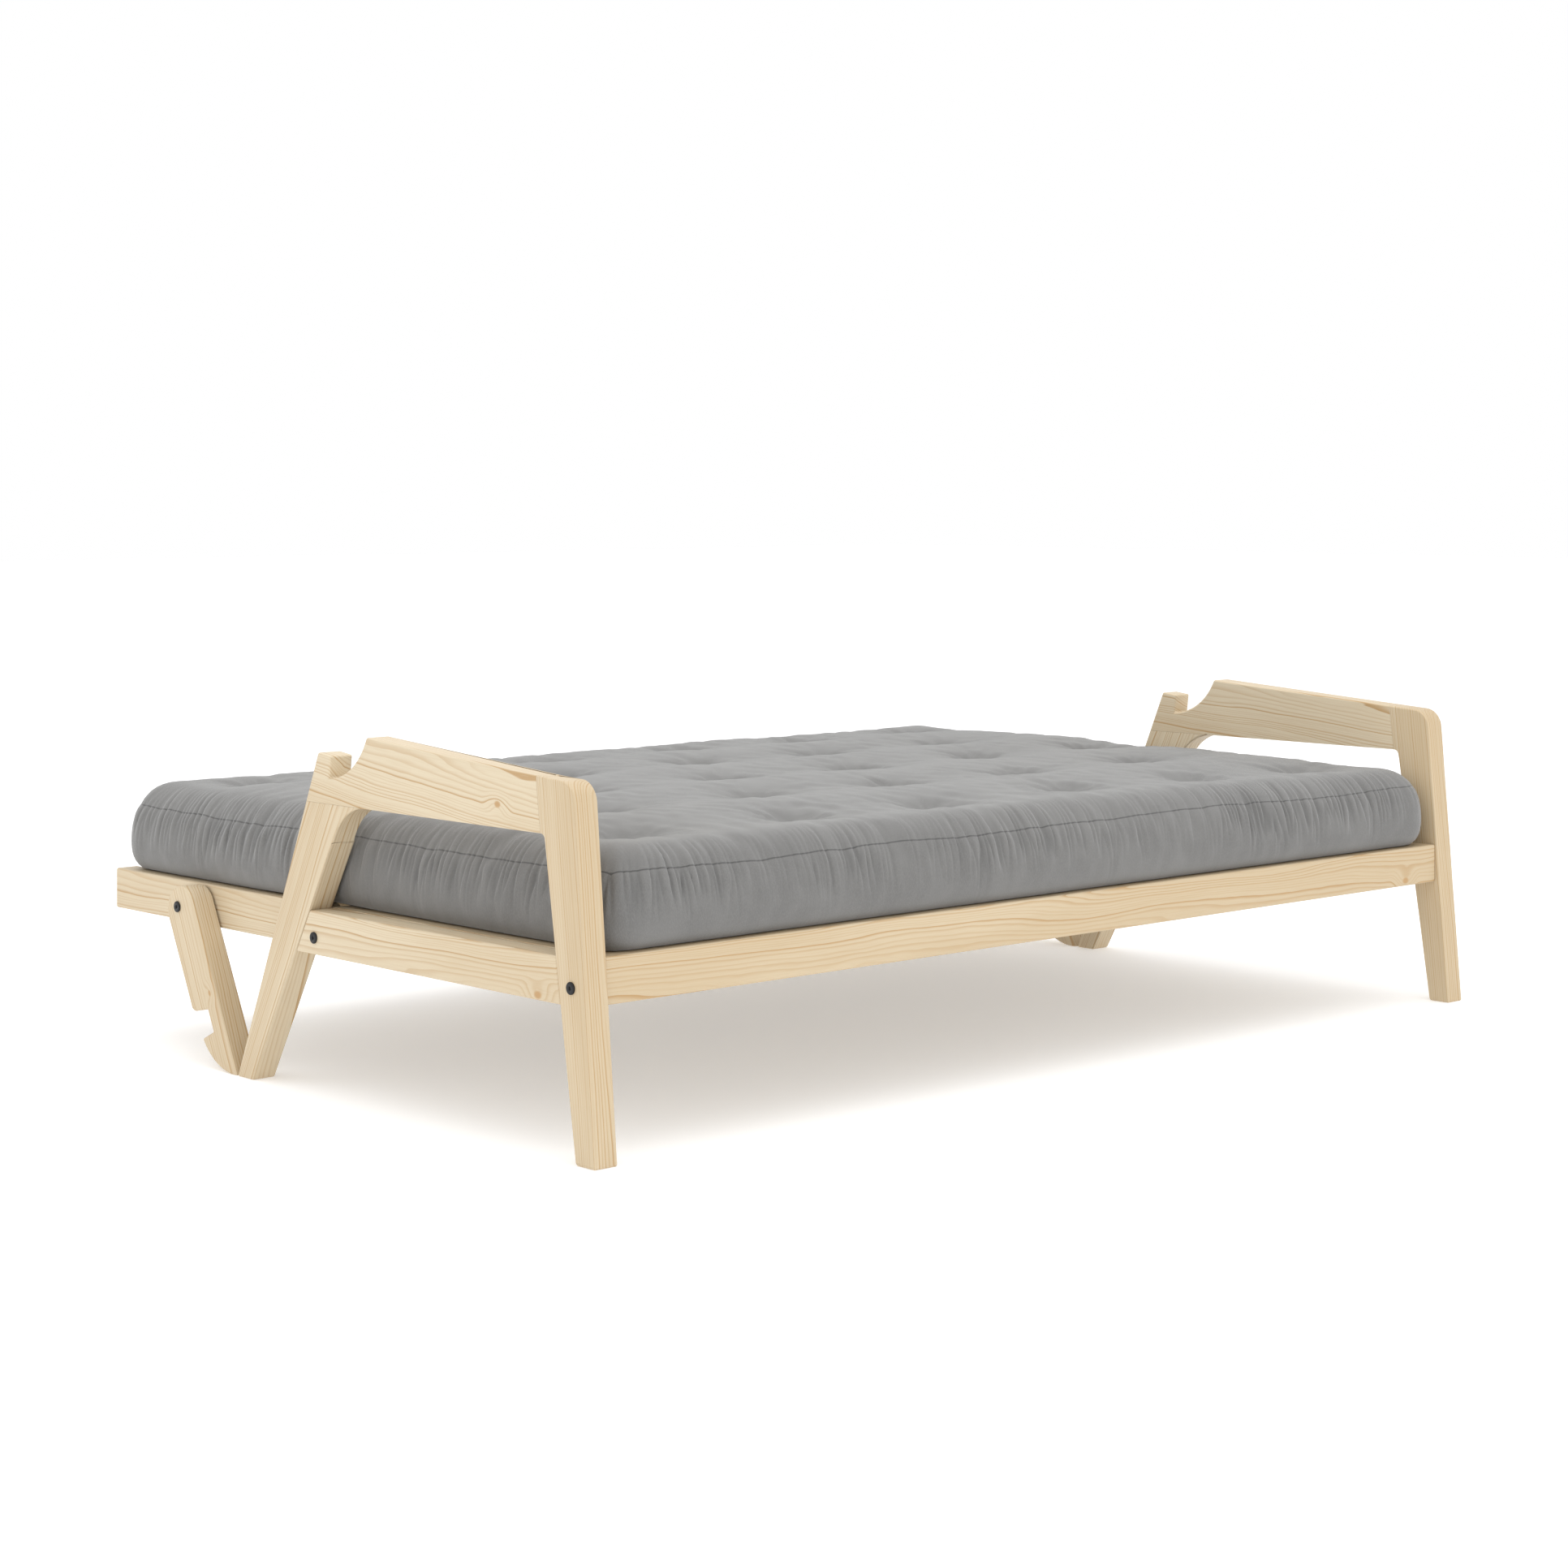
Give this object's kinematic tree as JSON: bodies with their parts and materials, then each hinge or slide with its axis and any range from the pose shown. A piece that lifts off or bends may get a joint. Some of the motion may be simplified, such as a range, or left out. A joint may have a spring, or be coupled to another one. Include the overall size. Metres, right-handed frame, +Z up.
{
  "type": "futon sofa bed",
  "caption": "Low pine futon sofa bed with a folding slatted backrest held up by two swinging support arms and one thick grey cotton futon",
  "frame": {"origin": "centre of the bed's footprint on the floor", "axes": "+X along the length to the right seen from the front, +Y to the back, +Z up; the front of the sofa faces -Y"},
  "size_m": [2.0452, 1.364, 0.5636],
  "materials": {
    "pine": "satin",
    "slat_pine": "matte",
    "beech_dowel": "matte",
    "black_bolts": "satin",
    "zinc_hardware": "satin",
    "futon_cotton": "matte"
  },
  "bodies": {
    "frame": {"left_front_leg": "pine", "left_armrest": "pine", "left_rear_leg": "pine", "left_side_rail": "pine", "right_front_leg": "pine", "right_armrest": "pine", "right_rear_leg": "pine", "right_side_rail": "pine", "side_frame_dowels": "beech_dowel", "front_rail": "pine", "rear_rail": "pine", "slat_ledger": "pine", "seat_slat_1": "slat_pine", "seat_slat_2": "slat_pine", "seat_slat_3": "slat_pine", "seat_slat_4": "slat_pine", "seat_slat_5": "slat_pine", "seat_slat_6": "slat_pine", "seat_slat_7": "slat_pine", "seat_slat_8": "slat_pine", "seat_slat_9": "slat_pine", "seat_slat_10": "slat_pine", "seat_slat_11": "slat_pine", "seat_slat_12": "slat_pine", "seat_slat_screws": "zinc_hardware", "ledger_screws": "zinc_hardware", "frame_bolts": "black_bolts", "barrel_nuts": "zinc_hardware", "hinge_bolts": "black_bolts", "hinge_insert_nuts": "zinc_hardware", "hinge_washers": "zinc_hardware", "mattress_seat": "futon_cotton", "mattress_fold": "futon_cotton"},
    "backrest": {"left_backrest_rail": "pine", "right_backrest_rail": "pine", "backrest_lower_rail": "pine", "backrest_top_rail": "pine", "back_slat_1": "slat_pine", "back_slat_2": "slat_pine", "back_slat_3": "slat_pine", "back_slat_4": "slat_pine", "back_slat_5": "slat_pine", "back_slat_6": "slat_pine", "back_slat_7": "slat_pine", "back_slat_8": "slat_pine", "back_slat_9": "slat_pine", "back_slat_10": "slat_pine", "back_slat_11": "slat_pine", "back_slat_12": "slat_pine", "back_slat_screws": "zinc_hardware", "backrest_dowels": "beech_dowel", "support_pivot_bolts": "black_bolts", "support_pivot_nuts": "black_bolts", "support_washers": "zinc_hardware", "mattress_back": "futon_cotton"},
    "left_support": {"left_support_arm": "pine"},
    "right_support": {"right_support_arm": "pine"}
  },
  "joints": [
    {"name": "backrest_fold", "type": "hinge", "parent": "frame", "child": "backrest", "pos_m": [0, 0.095, 0.2455], "axis": [1, 0, 0], "range_deg": [0, 72.8], "deforming": ["mattress_fold"]},
    {"name": "left_support_swing", "type": "hinge", "parent": "backrest", "child": "left_support", "pos_m": [-0.999, 0.4065, 0.2525], "axis": [1, 0, 0], "range_deg": [0, 230.4]},
    {"name": "right_support_swing", "type": "hinge", "parent": "backrest", "child": "right_support", "pos_m": [0.999, 0.4065, 0.2525], "axis": [1, 0, 0], "range_deg": [0, 230.4]}
  ]
}
